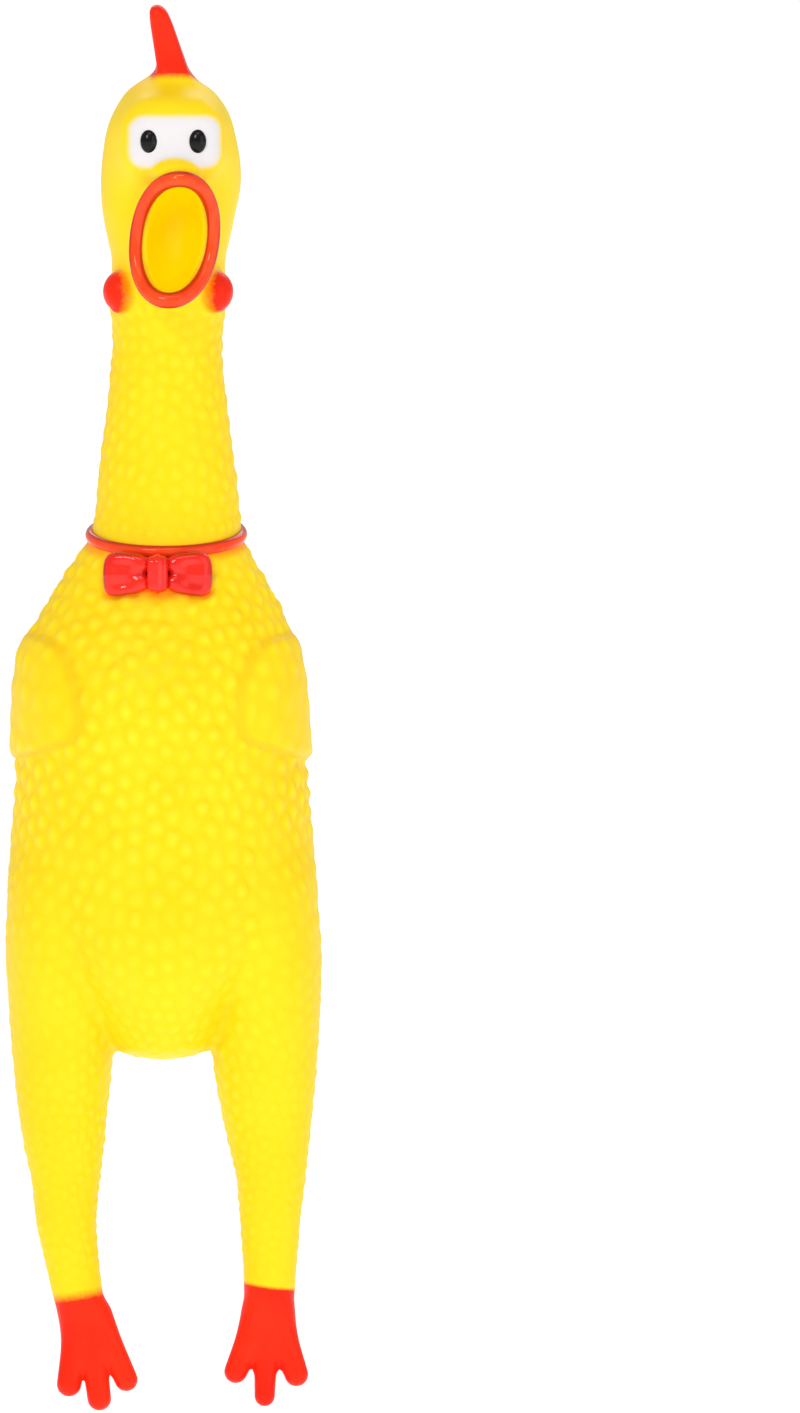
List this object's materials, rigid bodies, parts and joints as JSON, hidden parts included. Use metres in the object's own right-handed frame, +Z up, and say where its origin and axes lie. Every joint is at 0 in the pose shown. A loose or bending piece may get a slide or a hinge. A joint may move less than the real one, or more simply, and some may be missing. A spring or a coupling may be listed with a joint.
{
  "type": "squeaking rubber chicken",
  "caption": "Hanging hollow vinyl rubber chicken with an open beak, bow tie, floppy neck, legs and feet, and a squeaker in its rump that sounds when the belly is pressed.",
  "frame": {"origin": "middle of the torso, where a hand grips the body and presses the belly", "axes": "+Z up the body to the comb, -Y the way the beak points, +X the chicken's own left"},
  "size_m": [0.0891, 0.0948, 0.3989],
  "materials": {
    "yellow_vinyl": "satin",
    "red_vinyl": "satin",
    "amber_vinyl": "satin",
    "black_paint": "gloss",
    "white_plastic": "satin",
    "clear_reed": "gloss"
  },
  "bodies": {
    "torso": {"torso_skin": "yellow_vinyl", "wing_left": "yellow_vinyl", "wing_right": "yellow_vinyl", "collar_band": "red_vinyl", "bow_knot": "red_vinyl", "bow_loop_left": "red_vinyl", "bow_loop_right": "red_vinyl", "squeaker_housing": "white_plastic", "squeaker_cap": "white_plastic", "reed_block": "white_plastic", "reed_clamp": "white_plastic", "neck_root_flex": "yellow_vinyl", "hip_flex_left": "yellow_vinyl", "hip_flex_right": "yellow_vinyl"},
    "belly": {"belly_panel": "yellow_vinyl"},
    "reed": {"reed_tongue": "clear_reed"},
    "neck_lower": {"neck_skin_lower": "yellow_vinyl", "neck_middle_flex": "yellow_vinyl"},
    "neck_upper": {"neck_skin_upper": "yellow_vinyl", "throat_flex": "yellow_vinyl"},
    "head": {"head_skin": "yellow_vinyl", "beak_lips": "red_vinyl", "mouth_lining": "amber_vinyl", "eye_left": "black_paint", "eye_right": "black_paint", "wattle_left": "red_vinyl", "wattle_right": "red_vinyl", "comb_root": "red_vinyl"},
    "comb": {"comb": "red_vinyl"},
    "leg_left": {"leg_skin_left": "yellow_vinyl", "ankle_flex_left": "yellow_vinyl"},
    "leg_right": {"leg_skin_right": "yellow_vinyl", "ankle_flex_right": "yellow_vinyl"},
    "foot_left": {"foot_left": "red_vinyl"},
    "foot_right": {"foot_right": "red_vinyl"}
  },
  "joints": [
    {"name": "neck_bend", "type": "hinge", "parent": "torso", "child": "neck_lower", "pos_m": [0.001, -0.0106, 0.083], "axis": [1, 0, 0], "range_deg": [-32, 32], "stiffness_Nm_per_rad": 0.6, "deforming": ["neck_root_flex"]},
    {"name": "neck_sway", "type": "hinge", "parent": "neck_lower", "child": "neck_upper", "pos_m": [0.001, -0.0124, 0.105], "axis": [0, 1, 0], "range_deg": [-36, 36], "stiffness_Nm_per_rad": 0.45, "deforming": ["neck_middle_flex"]},
    {"name": "head_nod", "type": "hinge", "parent": "neck_upper", "child": "head", "pos_m": [0.0011, -0.0142, 0.127], "axis": [1, 0, 0], "range_deg": [-40, 40], "stiffness_Nm_per_rad": 0.35, "deforming": ["throat_flex"]},
    {"name": "comb_flop", "type": "hinge", "parent": "head", "child": "comb", "pos_m": [0.0015, -0.015, 0.2057], "axis": [0, 1, 0], "range_deg": [-25, 25], "stiffness_Nm_per_rad": 0.02, "deforming": ["comb_root"]},
    {"name": "hip_left", "type": "hinge", "parent": "torso", "child": "leg_left", "pos_m": [0.0294, -0.009, -0.085], "axis": [1, 0, 0], "range_deg": [-40, 40], "stiffness_Nm_per_rad": 0.12, "deforming": ["hip_flex_left"]},
    {"name": "hip_right", "type": "hinge", "parent": "torso", "child": "leg_right", "pos_m": [-0.0288, -0.009, -0.085], "axis": [1, 0, 0], "range_deg": [-40, 40], "stiffness_Nm_per_rad": 0.12, "deforming": ["hip_flex_right"]},
    {"name": "ankle_left", "type": "hinge", "parent": "leg_left", "child": "foot_left", "pos_m": [0.0304, -0.0099, -0.1385], "axis": [1, 0, 0], "range_deg": [-50, 50], "stiffness_Nm_per_rad": 0.04, "deforming": ["ankle_flex_left"]},
    {"name": "ankle_right", "type": "hinge", "parent": "leg_right", "child": "foot_right", "pos_m": [-0.0249, -0.0099, -0.1385], "axis": [1, 0, 0], "range_deg": [-50, 50], "stiffness_Nm_per_rad": 0.04, "deforming": ["ankle_flex_right"]},
    {"name": "belly_squeeze", "type": "slide", "parent": "torso", "child": "belly", "axis": [0, 1, 0], "range_m": [0, 0.01], "stiffness_N_per_m": 350},
    {"name": "reed_flutter", "type": "hinge", "parent": "torso", "child": "reed", "pos_m": [0, -0.0045, -0.055], "axis": [-1, 0, 0], "range_deg": [0, 8], "stiffness_Nm_per_rad": 0.002}
  ]
}
